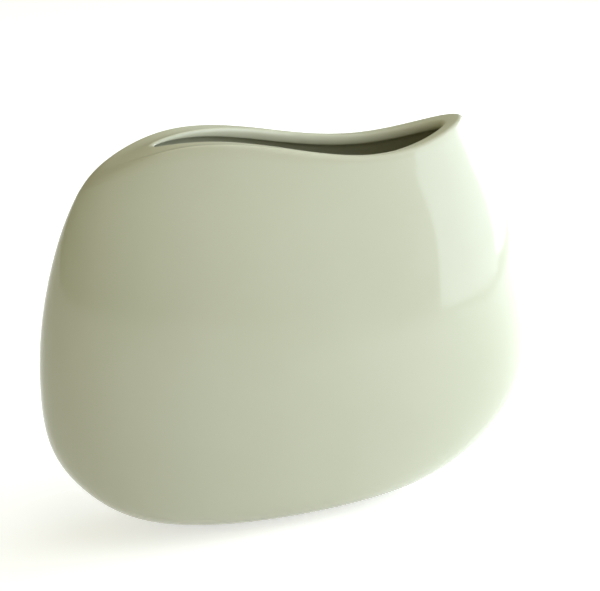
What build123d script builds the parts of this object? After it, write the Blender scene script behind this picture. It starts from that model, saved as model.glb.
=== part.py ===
from build123d import *
from math import cos, pi, sin
import os

# Pillow vase. Millimetres, +Z up, origin on the table under the middle of the vase.
# A slip-cast pouch: an upright cushion, full at the belly, drawn in to a long lens-shaped mouth.
# Its rim isn't level. Seen from the front it rises to a hump over the left shoulder, falls to a
# dip right of the middle and climbs again to a tip at the right end.
# Every horizontal cut is an oval, the same in front and behind. The ovals of the foot and of the
# mouth stand a little left of the belly's.

# Driving dimensions of the cast body
body_width = 350.0
body_depth = 132.0
shoulder_height = 247.0
belly_lean = 4.8
wall = 6.6
floor_thickness = 7.5

# The rim: its height over the shoulder at the left end, the hump, the dip and the right tip
rim_left_rise = 8.4
rim_hump_rise = 22.4
rim_dip_rise = 4.7
rim_tip_rise = 24.2

# The mouth: how thick the clay is at its sides and at its ends, and how far right of the outer
# oval it stands
mouth_side_wall = 8.6
mouth_end_wall = 27.7
mouth_shift = 8.2

# The bare clay ring under the body, and the felt discs that keep it off the furniture
foot_height = 1.8
foot_width = 8.4
foot_inset = 5.6
pad_thickness = 1.2
pad_margin = 0.9

# The form from its base (level 0) to just under the shoulder (level 1) and on above the rim: half
# width, half depth, squareness of the oval, and how far it stands left of the belly, at each level
level_shares = (0.0, 0.035, 0.115, 0.25, 0.42, 0.62, 0.82, 0.975, 1.12)
width_shares = (0.432, 0.636, 0.8, 0.957, 1.0, 0.973, 0.906, 0.802, 0.67)
depth_shares = (0.36, 0.626, 0.797, 0.952, 1.0, 0.9, 0.72, 0.522, 0.4)
squareness_shares = (0.031, 0.016, 0.04, 0.022, 0.018, 0.016, 0.017, 0.007, 0.0)
lean_shares = (0.39, 0.28, 0.72, 0.1, -0.07, 0.57, 0.7, 1.14, 0.59)
mouth_point_share = -0.03
draw_in_power = 4
lip_share = 0.45

# Where the rim's heights are taken, as shares of the half width
rim_left_share = -0.76
rim_hump_share = -0.5
rim_dip_share = 0.335
rim_tip_share = 0.79

# The pads' place round the ring, as a share of a full turn from its right end
pad_turn_share = 0.16

# Points on each oval, and straight bands of wall between two levels; the wall over the last of
# them is one band, so that the lip is rounded on an unbroken wall, and runs on past the rim
oval_points = 24
bands_per_level = 3
rim_clearance = 6.0
overrun = 20.0

base_height = pad_thickness + foot_height
form_height = shoulder_height - base_height
half_width = body_width / 2
half_depth = body_depth / 2
lip_radius = mouth_side_wall * lip_share
crown_rise = max(rim_left_rise, rim_hump_rise, rim_dip_rise, rim_tip_rise) + rim_clearance


def oval_point(turn, half_long, half_short, squareness):
    """A point on an ellipse whose corners are filled out or, when negative, drawn in."""
    x = half_long * (cos(turn) - squareness * cos(3 * turn)) / (1 - squareness)
    y = half_short * (sin(turn) + squareness * sin(3 * turn)) / (1 - squareness)
    return x, y


def oval(half_long, half_short, squareness, middle, height):
    """One closed horizontal section as a wire."""
    points = []
    for i in range(oval_points):
        x, y = oval_point(2 * pi * i / oval_points, half_long, half_short, squareness)
        points.append(Vector(x + middle, y, height))
    return Wire(Edge.make_spline(points, periodic=True, parameters=range(oval_points + 1)))


def form_rows(top_level):
    """Level, half width, half depth, squareness and lean of each section, off smooth curves."""
    last = len(level_shares) - 1
    tables = (level_shares, width_shares, depth_shares), (level_shares, squareness_shares, lean_shares)
    girth, corners = (
        Edge.make_spline([Vector(*row) for row in zip(*table)], parameters=range(last + 1))
        for table in tables
    )
    stops = [i / bands_per_level for i in range((last - 1) * bands_per_level + 1)] + [last]
    rows = []
    for stop in stops:
        level, width, depth = girth.position_at(stop / last, position_mode=PositionMode.PARAMETER)
        _, square, lean = corners.position_at(stop / last, position_mode=PositionMode.PARAMETER)
        rows.append((level, width, depth, square, lean))
    neck, crown = rows[-2:]
    run = (top_level - neck[0]) / (crown[0] - neck[0])
    rows[-1] = tuple(low + (high - low) * run for low, high in zip(neck, crown))
    return rows


def outer_form():
    """The outside of the pouch, closed flat on top above the rim."""
    sections = []
    for level, width, depth, square, lean in form_rows(1 + crown_rise / form_height):
        sections.append(oval(
            half_width * width,
            half_depth * depth,
            square,
            -belly_lean * lean,
            base_height + form_height * level,
        ))
    return Solid.make_loft(sections, ruled=True)


def inner_form():
    """The hollow: the outside drawn in by the wall, and further at the ends of the mouth."""
    bottom = base_height + floor_thickness
    hollow_height = shoulder_height - bottom
    sections = []
    for level, width, depth, square, lean in form_rows(1 + crown_rise / hollow_height):
        rise = min(level / level_shares[-2], 1) ** draw_in_power
        sections.append(oval(
            half_width * width - wall - (mouth_end_wall - wall) * rise,
            half_depth * depth - wall - (mouth_side_wall - wall) * rise,
            square + mouth_point_share * rise,
            -belly_lean * lean + mouth_shift * rise,
            bottom + hollow_height * level,
        ))
    return Solid.make_loft(sections, ruled=True)


def above_rim():
    """Everything over the waved rim, to cut away: the rim's outline run from front to back."""
    front = -half_depth - overrun
    far = half_width + overrun
    top = shoulder_height + form_height
    left_drop = 2 * (rim_hump_rise - rim_left_rise)
    right_climb = rim_tip_rise - rim_dip_rise
    start = Vector(-far, front, shoulder_height + rim_left_rise - left_drop)
    finish = Vector(far, front, shoulder_height + rim_tip_rise + right_climb)
    wave = Spline(
        start,
        (rim_left_share * half_width, front, shoulder_height + rim_left_rise),
        (rim_hump_share * half_width, front, shoulder_height + rim_hump_rise),
        (rim_dip_share * half_width, front, shoulder_height + rim_dip_rise),
        (rim_tip_share * half_width, front, shoulder_height + rim_tip_rise),
        finish,
    )
    border = Polyline(finish, (far, front, top), (-far, front, top), start)
    outline = Face(Wire([wave, *border.edges()]))
    return Solid.extrude(outline, Vector(0, body_depth + 2 * overrun, 0))


def vase_body():
    """The glazed vessel: one wall all round, a rounded waved lip, a flat base."""
    body = outer_form() - inner_form() - above_rim()
    rim = body.faces().filter_by(GeomType.EXTRUSION)
    return body.fillet(lip_radius, rim.edges())


foot_long = half_width * width_shares[0] - foot_inset
foot_short = half_depth * depth_shares[0] - foot_inset
foot_middle = -belly_lean * lean_shares[0]


def foot_ring():
    """The elliptical ring luted under the base."""
    level = Plane((foot_middle, 0, pad_thickness))
    outside = Wire(Edge.make_ellipse(foot_long, foot_short, level))
    inside = Wire(Edge.make_ellipse(foot_long - foot_width, foot_short - foot_width, level))
    return Solid.extrude(Face(outside, [inside]), Vector(0, 0, foot_height))


def foot_pad(turn):
    """A felt disc under the middle of the ring's width."""
    x = foot_middle + (foot_long - foot_width / 2) * cos(turn)
    y = (foot_short - foot_width / 2) * sin(turn)
    disc = Solid.make_cylinder(foot_width / 2 - pad_margin, pad_thickness)
    return disc.moved(Location((x, y, 0)))


pad_turn = 2 * pi * pad_turn_share
pieces = {
    "vase_body": vase_body(),
    "foot_ring": foot_ring(),
    "foot_pad_1": foot_pad(pi + pad_turn),
    "foot_pad_2": foot_pad(-pad_turn),
    "foot_pad_3": foot_pad(pad_turn),
    "foot_pad_4": foot_pad(pi - pad_turn),
}

os.makedirs("parts", exist_ok=True)
for name, piece in pieces.items():
    export_step(piece, f"parts/{name}.step")
    print(name, round(piece.volume, 1), piece.is_valid)
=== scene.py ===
import math

import bmesh
import bpy
import numpy as np
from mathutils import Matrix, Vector


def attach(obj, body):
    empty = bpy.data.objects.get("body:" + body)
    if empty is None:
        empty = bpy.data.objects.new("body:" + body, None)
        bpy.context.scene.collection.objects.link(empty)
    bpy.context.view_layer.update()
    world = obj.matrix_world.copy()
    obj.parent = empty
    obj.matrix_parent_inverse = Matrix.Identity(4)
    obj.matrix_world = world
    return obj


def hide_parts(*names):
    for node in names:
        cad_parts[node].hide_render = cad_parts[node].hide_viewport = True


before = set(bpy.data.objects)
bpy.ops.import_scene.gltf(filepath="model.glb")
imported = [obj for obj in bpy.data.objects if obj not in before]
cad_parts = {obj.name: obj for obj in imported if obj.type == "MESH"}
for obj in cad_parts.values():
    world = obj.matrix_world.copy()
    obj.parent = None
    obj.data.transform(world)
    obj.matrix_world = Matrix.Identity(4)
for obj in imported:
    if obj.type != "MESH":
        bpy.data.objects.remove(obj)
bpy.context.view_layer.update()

# The vase body: one slip-cast stoneware pouch, glazed inside and out and fired in one piece.
# Each level of it is an oval, fullest at the belly and drawn in to a long lens-shaped mouth. The
# rim waves, and the lip is sponged round while the clay is soft. Sizes are in millimetres. The
# smooth outside is drawn in by skin_inset, to stay within the CAD model's box.
metres_per_mm = 0.001
body_width = 350.0
body_depth = 132.0
shoulder_height = 247.0
belly_lean = 4.8
wall = 6.6
floor_thickness = 7.5
base_height = 3.0
skin_inset = 0.3

# The form from its base (level 0) to the shoulder (level 1) and above: half width, half depth,
# squareness of the oval, and how far it stands left of the belly, at each level
levels = (0.0, 0.035, 0.115, 0.25, 0.42, 0.62, 0.82, 0.975, 1.12)
widths = (0.432, 0.636, 0.8, 0.957, 1.0, 0.971, 0.904, 0.8, 0.668)
depths = (0.36, 0.626, 0.797, 0.952, 1.0, 0.9, 0.72, 0.522, 0.4)
squareness = (0.031, 0.016, 0.04, 0.022, 0.018, 0.016, 0.017, 0.007, 0.0)
leans = (0.39, 0.28, 0.72, 0.1, -0.01, 0.49, 0.61, 1.06, 0.51)
neck_level = len(levels) - 2
form_height = shoulder_height - base_height
hollow_bottom = base_height + floor_thickness

# The rim: its height over the shoulder at the left end, the hump, the dip and the right tip,
# where these stand, as shares of the half width, and how far out its curve runs on
rim_left_rise = 8.4
rim_hump_rise = 22.4
rim_dip_rise = 4.7
rim_tip_rise = 24.2
rim_shares = (-0.76, -0.5, 0.335, 0.79)
rim_reach = 195.0

# The mouth: how thick the clay is at its sides and ends, how far right of the outer oval it
# stands, how much further its left end reaches, and how pointed it is
mouth_side_wall = 8.6
mouth_end_wall = 27.7
mouth_shift = 8.2
mouth_left_reach = 4.5
mouth_left_power = 6
mouth_point = -0.03
draw_in_power = 4

# The lip: rounded outside, most at its left end. Inside it is a roll, lower where the wall is
# thin, with a tight lower edge and a shallow pocket under that.
lip_round = 3.87
left_round = 36.0
left_round_power = 8
roll_girth = 10.5
roll_share = 0.44
least_roll = 1.6
roll_run = 4.2
most_skew = 1.5
edge_round = 0.7
edge_turns = (45.0, 90.0)
pocket_depths = (0.1, 0.6, 2.0, 5.0, 10.0, 18.0, 27.0, 36.0)
pocket_cuts = (2.2, 3.8, 4.7, 4.9, 4.5, 3.4, 1.8, 0.6)

# The mesh: columns round the vase, rows to a level and steps to an arc, the rings of the base,
# of the neck (with how near the lip each is) and of the floor inside, as shares of the way, and
# how far down and how finely the wall is searched for a depth below the rim
columns = 144
rows_per_level = 4
hollow_rows_per_level = 2
arc_steps = 6
base_shares = (0.35, 0.65, 0.86, 0.96)
neck_rings = ((0.4, 0), (0.75, 0.1))
floor_shares = (0.94, 0.8, 0.6, 0.35)
search_levels = 2.0
search_halvings = 30
small_turn = 0.01


def curve_through(knots, values):
    """A smooth curve through the values, as a function of the place along the knots."""
    x, v = np.array(knots, float), np.array(values, float)
    step = np.diff(x)
    rise = np.diff(v) / step
    last = len(v) - 1
    system, right = np.zeros((last + 1, last + 1)), np.zeros(last + 1)
    for i in range(1, last):
        system[i, i - 1:i + 2] = step[i], 2 * (step[i - 1] + step[i]), step[i - 1]
        right[i] = 3 * (step[i] * rise[i - 1] + step[i - 1] * rise[i])
    for row, near, far in ((0, 0, 1), (last, last - 2, last - 1)):
        a, b = step[near] ** 2, step[far] ** 2
        system[row, near:near + 3] = b, b - a, -a
        right[row] = 2 * (b * rise[near] - a * rise[far])
    slope = np.linalg.solve(system, right)

    def at(place):
        i = min(max(int(np.searchsorted(x, place)) - 1, 0), last - 1)
        u = (place - x[i]) / step[i]
        start, end = slope[i] * step[i], slope[i + 1] * step[i]
        climb = v[i + 1] - v[i]
        second, third = 3 * climb - 2 * start - end, start + end - 2 * climb
        return v[i] + u * (start + u * (second + u * third))

    return at


form_tables = levels, widths, depths, squareness, leans
form_curves = [curve_through(range(len(levels)), table) for table in form_tables]
rim_rises = (
    rim_left_rise - 2 * (rim_hump_rise - rim_left_rise),
    rim_left_rise,
    rim_hump_rise,
    rim_dip_rise,
    rim_tip_rise,
    rim_tip_rise + (rim_tip_rise - rim_dip_rise),
)
rim_height = curve_through(
    (-rim_reach, *(body_width / 2 * share for share in rim_shares), rim_reach),
    [shoulder_height + rise for rise in rim_rises],
)


def form_row(place):
    """Level, half width, half depth, squareness and lean; straight above the neck."""
    if place <= neck_level:
        return [curve(place) for curve in form_curves]
    share = place - neck_level
    low, high = form_row(neck_level), [curve(neck_level + 1) for curve in form_curves]
    return [a + (b - a) * share for a, b in zip(low, high)]


def oval_point(turn, half_long, half_short, square, middle, height):
    """A point on an ellipse whose corners are filled out or, when square is negative, drawn in."""
    x = half_long * (math.cos(turn) - square * math.cos(3 * turn)) / (1 - square)
    y = half_short * (math.sin(turn) + square * math.sin(3 * turn)) / (1 - square)
    return Vector((x + middle, y, height))


def outside(turn, place):
    """A point on the outer face of the wall."""
    level, width, depth, square, lean = form_row(place)
    return oval_point(
        turn,
        body_width / 2 * width - skin_inset,
        body_depth / 2 * depth - skin_inset,
        square,
        -belly_lean * lean,
        base_height + form_height * level,
    )


def inside(turn, place):
    """A point on the inner face, drawn in by the wall and further at the ends of the mouth."""
    level, width, depth, square, lean = form_row(place)
    rise = min(level / levels[neck_level], 1) ** draw_in_power
    reach = mouth_left_reach * rise * max(-math.cos(turn), 0) ** mouth_left_power
    return oval_point(
        turn,
        body_width / 2 * width - wall - (mouth_end_wall - wall) * rise,
        body_depth / 2 * depth - wall - (mouth_side_wall - wall) * rise,
        square + mouth_point * rise,
        -belly_lean * lean + mouth_shift * rise - reach,
        hollow_bottom + (shoulder_height - hollow_bottom) * level,
    )


def under_rim(face, turn, depth):
    """The point of a face of the wall that lies a depth below the waved rim."""
    low, high = neck_level - search_levels, neck_level + 1.0
    for _ in range(search_halvings):
        middle = (low + high) / 2
        point = face(turn, middle)
        if point.z > rim_height(point.x) - depth:
            high = middle
        else:
            low = middle
    return face(turn, low)


def rounded(corner, down, along, drop, run):
    """Points on the arc that rounds a corner between the way down a face and along the rim."""
    start, end = corner + down * drop, corner + along * run
    pull = math.sin(down.angle(along) / 2)
    arc = []
    for step in range(arc_steps + 1):
        u = step / arc_steps
        parts = (1 - u) ** 2, 2 * u * (1 - u) * pull, u ** 2
        arc.append((start * parts[0] + corner * parts[1] + end * parts[2]) / sum(parts))
    return arc


outer_rim = [under_rim(outside, 2 * math.pi * i / columns, 0) for i in range(columns)]


def lip_curve(turn):
    """The lip's section: up the outside, round, across, down the roll and under its edge."""
    outer, inner = under_rim(outside, turn, 0), under_rim(inside, turn, 0)
    across = (inner - outer).normalized()
    outer_down = (outside(turn, neck_level) - outer).normalized()
    inner_down = (inside(turn, neck_level) - inner).normalized()
    leftness = max(-math.cos(turn), 0) ** left_round_power
    outer_round = lip_round + (left_round - lip_round) * leftness
    outer_reach = outer_round / math.tan(outer_down.angle(across) / 2)
    outer_arc = rounded(outer, outer_down, across, outer_reach, outer_reach)
    thickness = min((inner - point).length for point in outer_rim)
    skew = min((inner - outer).length / thickness, most_skew)
    drop = max(roll_girth - roll_share * thickness, least_roll)
    inner_arc = rounded(inner, inner_down, -across, drop, roll_run * skew)
    ahead = inside(turn + small_turn, neck_level) - inside(turn - small_turn, neck_level)
    away = Vector((ahead.y, -ahead.x, 0)).normalized()
    pocket = []
    for degrees in edge_turns:
        angle = math.radians(degrees)
        bend = inner_down * math.sin(angle) + away * (1 - math.cos(angle))
        pocket.append(inner_arc[0] + bend * edge_round)
    edge_depth = inner.z - pocket[-1].z
    pocket += [
        under_rim(inside, turn, edge_depth + depth) + away * cut
        for depth, cut in zip(pocket_depths, pocket_cuts)
    ]
    return outer_arc + [(outer_arc[-1] + inner_arc[-1]) / 2] + inner_arc[::-1], pocket


def body_section(turn):
    """The wall's section at one turn: each point, how near the lip it is, and how far inside."""
    centre = Vector((-belly_lean * leans[0], 0, 0))
    section = []
    for share in base_shares:
        point = centre.lerp(outside(turn, 0), share)
        section.append((Vector((point.x, point.y, base_height)), 0, 0))
    places = [i / rows_per_level for i in range(neck_level * rows_per_level + 1)]
    section += [(outside(turn, place), 0, 0) for place in places]
    lip, pocket = lip_curve(turn)
    neck = outside(turn, neck_level)
    section += [(neck.lerp(lip[0], share), near, 0) for share, near in neck_rings]
    section += [(point, 1, 0) for point in lip + pocket[:1]]
    section += [(point, 0, 1) for point in pocket[1:]]
    hollow_rows = range(hollow_rows_per_level * (neck_level - 1), -1, -1)
    section += [(inside(turn, row / hollow_rows_per_level), 0, 1) for row in hollow_rows]
    for share in floor_shares:
        point = centre.lerp(inside(turn, 0), share)
        section.append((Vector((point.x, point.y, hollow_bottom)), 0, 1))
    return section


def finish_piece(name, mesh_maker, material, nodes, subdivision):
    """Turns a bmesh into a smooth piece that rides with the vase and stands for its CAD nodes."""
    mesh = bpy.data.meshes.new(name)
    mesh_maker.to_mesh(mesh)
    mesh_maker.free()
    mesh.shade_smooth()
    mesh.materials.append(material)
    piece = bpy.data.objects.new(name, mesh)
    bpy.context.scene.collection.objects.link(piece)
    if subdivision:
        smoother = piece.modifiers.new("smooth clay", "SUBSURF")
        smoother.levels = smoother.render_levels = subdivision
    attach(piece, "root")
    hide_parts(*nodes)
    return piece


def next_ring(maker, edges):
    """Extrudes a ring of edges and returns the new ring's points and edges."""
    made = bmesh.ops.extrude_edge_only(maker, edges=edges)["geom"]
    points = [part for part in made if isinstance(part, bmesh.types.BMVert)]
    ring = [part for part in made if isinstance(part, bmesh.types.BMEdge) and part.is_boundary]
    return points, ring


# The number of each colour socket of a Mix node: the two that go in and the one that comes out
first_colour, second_colour, mixed_colour = 6, 7, 2


def linear(hex_colour):
    """An sRGB hex colour as the linear colour that a shader takes."""
    found = []
    for i in (1, 3, 5):
        value = int(hex_colour[i:i + 2], 16) / 255
        found.append(value / 12.92 if value <= 0.04045 else ((value + 0.055) / 1.055) ** 2.4)
    return (*found, 1.0)


def add_node(tree, kind, properties, inputs):
    """Adds a shader node, sets its own properties, and gives each input a value or a link."""
    made = tree.nodes.new(kind)
    for name, value in properties.items():
        setattr(made, name, value)
    for name, value in inputs.items():
        if isinstance(value, bpy.types.NodeSocket):
            tree.links.new(value, made.inputs[name])
        else:
            made.inputs[name].default_value = value
    return made


def new_material(name):
    """An empty node material, with its tree and its output node."""
    material = bpy.data.materials.new(name)
    material.use_nodes = True
    material.node_tree.nodes.clear()
    output = material.node_tree.nodes.new("ShaderNodeOutputMaterial")
    return material, material.node_tree, output


# Ivory feldspar glaze over white stoneware, poured and sprayed, fired to a full gloss: a glassy
# coat with a slow swell where it ran, a trace of orange peel and a little cloud in its colour. It
# is thinner over the lip, where the clay warms it. The inside, from the roll of the lip down, is
# coloured darker than the glaze: painted shade in the hollow.
glaze_colour = "#DDDCC6"
glaze_cloud_colour = "#D6D6BD"
thin_glaze_colour = "#D3D0B6"
# The hollow's colour: darker than the glaze, as painted shade inside the vase
hollow_shade_colour = "#CDCCB4"
cloud_size = 70.0
swell_size = 55.0
swell_height = 0.05
peel_size = 2.6
peel_height = 0.003
glaze_ior = 1.5
glaze_smoothest = 0.05
glaze_roughest = 0.1
least_run_thin = 0.25
most_run_thin = 0.8

glaze, tree, output = new_material("glossy ivory glaze on stoneware")
place = add_node(tree, "ShaderNodeTexCoord", {}, {}).outputs["Object"]
cloud = add_node(tree, "ShaderNodeTexNoise", {}, {
    "Vector": place, "Scale": 1 / (cloud_size * metres_per_mm), "Detail": 2.0, "Roughness": 0.5,
}).outputs["Fac"]
near_lip = add_node(tree, "ShaderNodeAttribute", {"attribute_name": "lip"}, {}).outputs["Fac"]
ran_thin = add_node(tree, "ShaderNodeMapRange", {}, {
    "Value": cloud, "From Min": 0.35, "From Max": 0.65,
    "To Min": least_run_thin, "To Max": most_run_thin,
}).outputs["Result"]
thinness = add_node(tree, "ShaderNodeMath", {"operation": "MULTIPLY"}, {
    0: near_lip, 1: ran_thin,
}).outputs["Value"]
clouded = add_node(tree, "ShaderNodeMix", {"data_type": "RGBA"}, {
    "Factor": cloud,
    first_colour: linear(glaze_colour),
    second_colour: linear(glaze_cloud_colour),
}).outputs[mixed_colour]
coated = add_node(tree, "ShaderNodeMix", {"data_type": "RGBA"}, {
    "Factor": thinness, first_colour: clouded, second_colour: linear(thin_glaze_colour),
}).outputs[mixed_colour]
painted_hollow_shade = add_node(tree, "ShaderNodeAttribute", {
    "attribute_name": "hollow",
}, {}).outputs["Fac"]
# Painted shade: the hollow is coloured darker than the glaze
coloured = add_node(tree, "ShaderNodeMix", {"data_type": "RGBA"}, {
    "Factor": painted_hollow_shade, first_colour: coated, second_colour: linear(hollow_shade_colour),
}).outputs[mixed_colour]
swell = add_node(tree, "ShaderNodeTexNoise", {}, {
    "Vector": place, "Scale": 1 / (swell_size * metres_per_mm), "Detail": 1.0,
}).outputs["Fac"]
peel = add_node(tree, "ShaderNodeTexNoise", {}, {
    "Vector": place, "Scale": 1 / (peel_size * metres_per_mm), "Detail": 1.0,
}).outputs["Fac"]
swollen = add_node(tree, "ShaderNodeBump", {}, {
    "Height": swell, "Distance": swell_height * metres_per_mm, "Strength": 1.0,
}).outputs["Normal"]
dimpled = add_node(tree, "ShaderNodeBump", {}, {
    "Height": peel, "Distance": peel_height * metres_per_mm, "Strength": 1.0, "Normal": swollen,
}).outputs["Normal"]
gloss = add_node(tree, "ShaderNodeMapRange", {}, {
    "Value": cloud, "From Min": 0.3, "From Max": 0.7,
    "To Min": glaze_smoothest, "To Max": glaze_roughest,
}).outputs["Result"]
shader = add_node(tree, "ShaderNodeBsdfPrincipled", {}, {
    "Base Color": coloured, "Roughness": gloss, "IOR": glaze_ior, "Normal": dimpled,
})
tree.links.new(shader.outputs["BSDF"], output.inputs["Surface"])

body = bmesh.new()
turn_of = body.verts.layers.float.new("turn")
lip_of = body.verts.layers.float.new("lip")
# Marks the hollow, where the painted shade goes
hollow_of = body.verts.layers.float.new("hollow")
circle = bmesh.ops.create_circle(body, cap_ends=True, segments=columns, radius=1.0)
for vertex in circle["verts"]:
    vertex[turn_of] = math.atan2(vertex.co.y, vertex.co.x)
ring_points = circle["verts"]
ring_edges = list(body.edges)
sections = {vertex[turn_of]: body_section(vertex[turn_of]) for vertex in ring_points}
row_count = len(next(iter(sections.values())))
for row in range(row_count):
    if row:
        ring_points, ring_edges = next_ring(body, ring_edges)
    for vertex in ring_points:
        point, nearness, inwardness = sections[vertex[turn_of]][row]
        vertex.co = point * metres_per_mm
        vertex[lip_of] = nearness
        vertex[hollow_of] = inwardness
bmesh.ops.contextual_create(body, geom=ring_edges)
bmesh.ops.recalc_face_normals(body, faces=body.faces)
body.verts.layers.float.remove(turn_of)
finish_piece("glazed_pouch", body, glaze, ["vase_body"], 1)

# The foot ring: bare stoneware luted under the base and wiped free of glaze, so that the vase
# doesn't stick to the kiln shelf. Its lower edges are rubbed round with a sponge.
foot_inset = 5.6
foot_width = 8.4
foot_height = 1.8
foot_base = 1.2
foot_turns = 64
clay_colour = "#CDBFA6"
clay_dark_colour = "#B7A88D"
grit_size = 0.9
grit_height = 0.1
clay_roughness = 0.85

# The ring's section: how far in across its width and how far up its height each point is
foot_section = (
    (0.0, 1.0), (0.0, 0.5), (0.02, 0.2), (0.09, 0.0), (0.3, 0.0), (0.7, 0.0), (0.91, 0.0),
    (0.98, 0.2), (1.0, 0.5), (1.0, 1.0),
)

bare_clay, tree, output = new_material("bare fired stoneware, wiped")
place = add_node(tree, "ShaderNodeTexCoord", {}, {}).outputs["Object"]
grit = add_node(tree, "ShaderNodeTexNoise", {}, {
    "Vector": place, "Scale": 1 / (grit_size * metres_per_mm), "Detail": 4.0, "Roughness": 0.6,
}).outputs["Fac"]
clay = add_node(tree, "ShaderNodeMix", {"data_type": "RGBA"}, {
    "Factor": grit, first_colour: linear(clay_colour), second_colour: linear(clay_dark_colour),
}).outputs[mixed_colour]
gritty = add_node(tree, "ShaderNodeBump", {}, {
    "Height": grit, "Distance": grit_height * metres_per_mm, "Strength": 0.6,
}).outputs["Normal"]
shader = add_node(tree, "ShaderNodeBsdfPrincipled", {}, {
    "Base Color": clay, "Roughness": clay_roughness, "Normal": gritty,
})
tree.links.new(shader.outputs["BSDF"], output.inputs["Surface"])

foot_long = body_width / 2 * widths[0] - foot_inset
foot_short = body_depth / 2 * depths[0] - foot_inset
foot_middle = -belly_lean * leans[0]
foot = bmesh.new()
turn_of = foot.verts.layers.float.new("turn")
circle = bmesh.ops.create_circle(foot, segments=foot_turns, radius=1.0)
for vertex in circle["verts"]:
    vertex[turn_of] = math.atan2(vertex.co.y, vertex.co.x)
ring_points, ring_edges = circle["verts"], list(foot.edges)
first_ring = list(ring_edges)
for row, (across, up) in enumerate(foot_section):
    if row:
        ring_points, ring_edges = next_ring(foot, ring_edges)
    for vertex in ring_points:
        inset = foot_width * across
        vertex.co = Vector((
            foot_middle + (foot_long - inset) * math.cos(vertex[turn_of]),
            (foot_short - inset) * math.sin(vertex[turn_of]),
            foot_base + foot_height * up,
        )) * metres_per_mm
bmesh.ops.bridge_loops(foot, edges=first_ring + ring_edges)
bmesh.ops.recalc_face_normals(foot, faces=foot.faces)
foot.verts.layers.float.remove(turn_of)
finish_piece("wiped_foot_ring", foot, bare_clay, ["foot_ring"], 1)

# The four pads: discs of pressed wool felt, punched out and stuck to the foot ring, which keep
# the bare clay off the furniture. The punch leaves their edges slightly rounded and furred.
pad_margin = 0.9
pad_turn_share = 0.16
pad_edge = 0.25
pad_segments = 40
sharp_edge = 1.0
felt_colour = "#4A4641"
felt_fibre_colour = "#6A655D"
felt_roughness = 0.95
felt_sheen = 0.3
fibre_size = 0.35
fibre_height = 0.12

felt, tree, output = new_material("pressed wool felt")
place = add_node(tree, "ShaderNodeTexCoord", {}, {}).outputs["Object"]
fibres = add_node(tree, "ShaderNodeTexNoise", {}, {
    "Vector": place, "Scale": 1 / (fibre_size * metres_per_mm), "Detail": 5.0, "Roughness": 0.7,
    "Distortion": 1.5,
}).outputs["Fac"]
fibred = add_node(tree, "ShaderNodeMix", {"data_type": "RGBA"}, {
    "Factor": fibres, first_colour: linear(felt_colour), second_colour: linear(felt_fibre_colour),
}).outputs[mixed_colour]
furred = add_node(tree, "ShaderNodeBump", {}, {
    "Height": fibres, "Distance": fibre_height * metres_per_mm, "Strength": 0.8,
}).outputs["Normal"]
shader = add_node(tree, "ShaderNodeBsdfPrincipled", {}, {
    "Base Color": fibred, "Roughness": felt_roughness, "Normal": furred,
    "Sheen Weight": felt_sheen,
})
tree.links.new(shader.outputs["BSDF"], output.inputs["Surface"])

pad_turn = 2 * math.pi * pad_turn_share
pad_turns = (math.pi + pad_turn, -pad_turn, pad_turn, math.pi - pad_turn)
for number, turn in enumerate(pad_turns, start=1):
    pad = bmesh.new()
    bmesh.ops.create_circle(
        pad, cap_ends=True, segments=pad_segments,
        radius=(foot_width / 2 - pad_margin) * metres_per_mm,
    )
    raised = bmesh.ops.extrude_face_region(pad, geom=list(pad.faces))["geom"]
    top = [part for part in raised if isinstance(part, bmesh.types.BMVert)]
    bmesh.ops.translate(pad, verts=top, vec=(0, 0, foot_base * metres_per_mm))
    bmesh.ops.recalc_face_normals(pad, faces=pad.faces)
    rims = [edge for edge in pad.edges if abs(edge.calc_face_angle(0)) > sharp_edge]
    bmesh.ops.bevel(
        pad, geom=rims, offset=pad_edge * metres_per_mm, segments=2, profile=0.5,
        affect="EDGES", material=-1,
    )
    bmesh.ops.translate(pad, verts=pad.verts, vec=Vector((
        foot_middle + (foot_long - foot_width / 2) * math.cos(turn),
        (foot_short - foot_width / 2) * math.sin(turn),
        0,
    )) * metres_per_mm)
    finish_piece(f"felt_pad_{number}", pad, felt, [f"foot_pad_{number}"], 0)

# The studio: a matt white table top in a dim, warm room that is brighter towards the right. The
# table glows to the camera and in reflections, so that it shows as white with the vase's shadow
# on it, and reaches far enough to be the background too.
table_radius = 60.0
table_segments = 96
table_colour = "#F2F2F0"
table_glow = 0.57
room_colour = "#FFFAC6"
room_strength = 0.245
bright_side = Vector((1.0, -0.42, 0.1)).normalized()
bright_side_colour = "#EEF7FF"
bright_side_strength = 1.05
bright_side_falloff = 2.0

table_top, tree, output = new_material("matt white table")
light_path = add_node(tree, "ShaderNodeLightPath", {}, {})
seen = add_node(tree, "ShaderNodeMath", {"operation": "MAXIMUM"}, {
    0: light_path.outputs["Is Camera Ray"], 1: light_path.outputs["Is Transmission Ray"],
}).outputs["Value"]
seen = add_node(tree, "ShaderNodeMath", {"operation": "MAXIMUM"}, {
    0: seen, 1: light_path.outputs["Is Glossy Ray"],
}).outputs["Value"]
glow_strength = add_node(tree, "ShaderNodeMath", {"operation": "MULTIPLY"}, {
    0: seen, 1: table_glow,
}).outputs["Value"]
paint = add_node(tree, "ShaderNodeBsdfDiffuse", {}, {"Color": linear(table_colour)})
glow = add_node(tree, "ShaderNodeEmission", {}, {"Strength": glow_strength})
both = add_node(tree, "ShaderNodeAddShader", {}, {
    0: paint.outputs["BSDF"], 1: glow.outputs["Emission"],
})
tree.links.new(both.outputs["Shader"], output.inputs["Surface"])
table = bmesh.new()
bmesh.ops.create_circle(table, cap_ends=True, segments=table_segments, radius=table_radius)
table_mesh = bpy.data.meshes.new("table")
table.to_mesh(table_mesh)
table.free()
table_mesh.materials.append(table_top)
table_piece = bpy.data.objects.new("table", table_mesh)
bpy.context.scene.collection.objects.link(table_piece)

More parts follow.
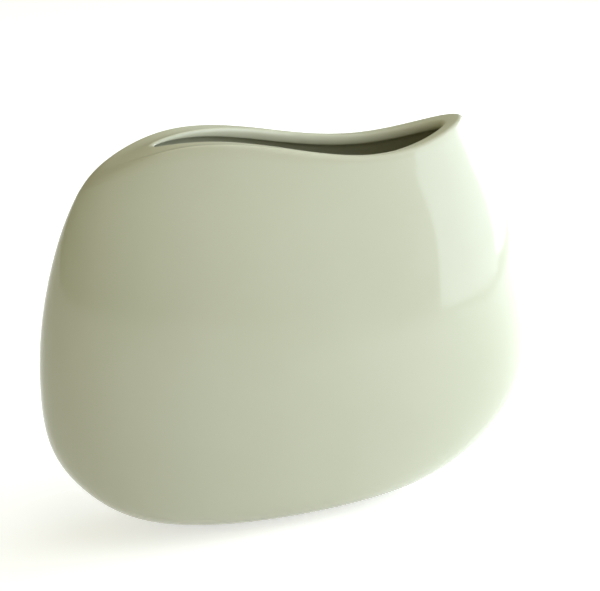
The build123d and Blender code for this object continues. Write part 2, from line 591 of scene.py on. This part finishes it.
world = bpy.data.worlds.new("dim warm room")
bpy.context.scene.world = world
world.use_nodes = True
tree = world.node_tree
tree.nodes.clear()
room = add_node(tree, "ShaderNodeBackground", {}, {
    "Color": linear(room_colour), "Strength": room_strength,
})
direction = add_node(tree, "ShaderNodeTexCoord", {}, {}).outputs["Generated"]
facing = add_node(tree, "ShaderNodeVectorMath", {"operation": "DOT_PRODUCT"}, {
    0: direction, 1: bright_side,
}).outputs["Value"]
facing = add_node(tree, "ShaderNodeMath", {"operation": "MAXIMUM"}, {
    0: facing, 1: 0.0,
}).outputs["Value"]
spread = add_node(tree, "ShaderNodeMath", {"operation": "POWER"}, {
    0: facing, 1: bright_side_falloff,
}).outputs["Value"]
side_strength = add_node(tree, "ShaderNodeMath", {"operation": "MULTIPLY"}, {
    0: spread, 1: bright_side_strength,
}).outputs["Value"]
side = add_node(tree, "ShaderNodeBackground", {}, {
    "Color": linear(bright_side_colour), "Strength": side_strength,
})
both = add_node(tree, "ShaderNodeAddShader", {}, {
    0: room.outputs["Background"], 1: side.outputs["Background"],
})
add_node(tree, "ShaderNodeOutputWorld", {}, {"Surface": both.outputs["Shader"]})


def soft_light(name, place, aim, width, height, power, colour):
    """A rectangular soft light, in metres and watts, turned to face a point."""
    lamp = bpy.data.lights.new(name, "AREA")
    lamp.shape = "RECTANGLE"
    lamp.size, lamp.size_y = width, height
    lamp.energy = power
    lamp.color = linear(colour)[:3]
    holder = bpy.data.objects.new(name, lamp)
    holder.location = place
    holder.rotation_mode = "QUATERNION"
    holder.rotation_quaternion = (Vector(aim) - Vector(place)).to_track_quat("-Z", "Y")
    bpy.context.scene.collection.objects.link(holder)


daylight = "#DFEEFF"
soft_light("window wall", (1.25, -0.78, 0.82), (0, -0.78, 0.82), 0.94, 1.6, 11.2, daylight)
soft_light("window", (1.25, 0.2, 0.6), (0, 0.2, 0.6), 1.3, 1.1, 22.5, daylight)
soft_light("ceiling", (0.1, -0.6, 2.1), (0, 0, 0.2), 1.6, 1.2, 6.5, "#FFFFFF")

# The camera: a long lens a little over a metre away, to the left of the vase and above it.
camera_turn = math.radians(22.7)
camera_rise = math.radians(21.8)
camera_distance = 1.222
aim_height = 0.14
camera_data = bpy.data.cameras.new("camera")
camera_data.sensor_width = 36.0
camera_data.lens = 109.6
camera_data.shift_x = 0.0108
camera_data.shift_y = 0.0287
camera = bpy.data.objects.new("camera", camera_data)
back = Vector((
    -math.sin(camera_turn) * math.cos(camera_rise),
    -math.cos(camera_turn) * math.cos(camera_rise),
    math.sin(camera_rise),
))
camera.location = Vector((0, 0, aim_height)) + back * camera_distance
camera.rotation_mode = "QUATERNION"
camera.rotation_quaternion = (-back).to_track_quat("-Z", "Y")
bpy.context.scene.collection.objects.link(camera)
bpy.context.scene.camera = camera
bpy.context.scene.view_settings.view_transform = "Standard"
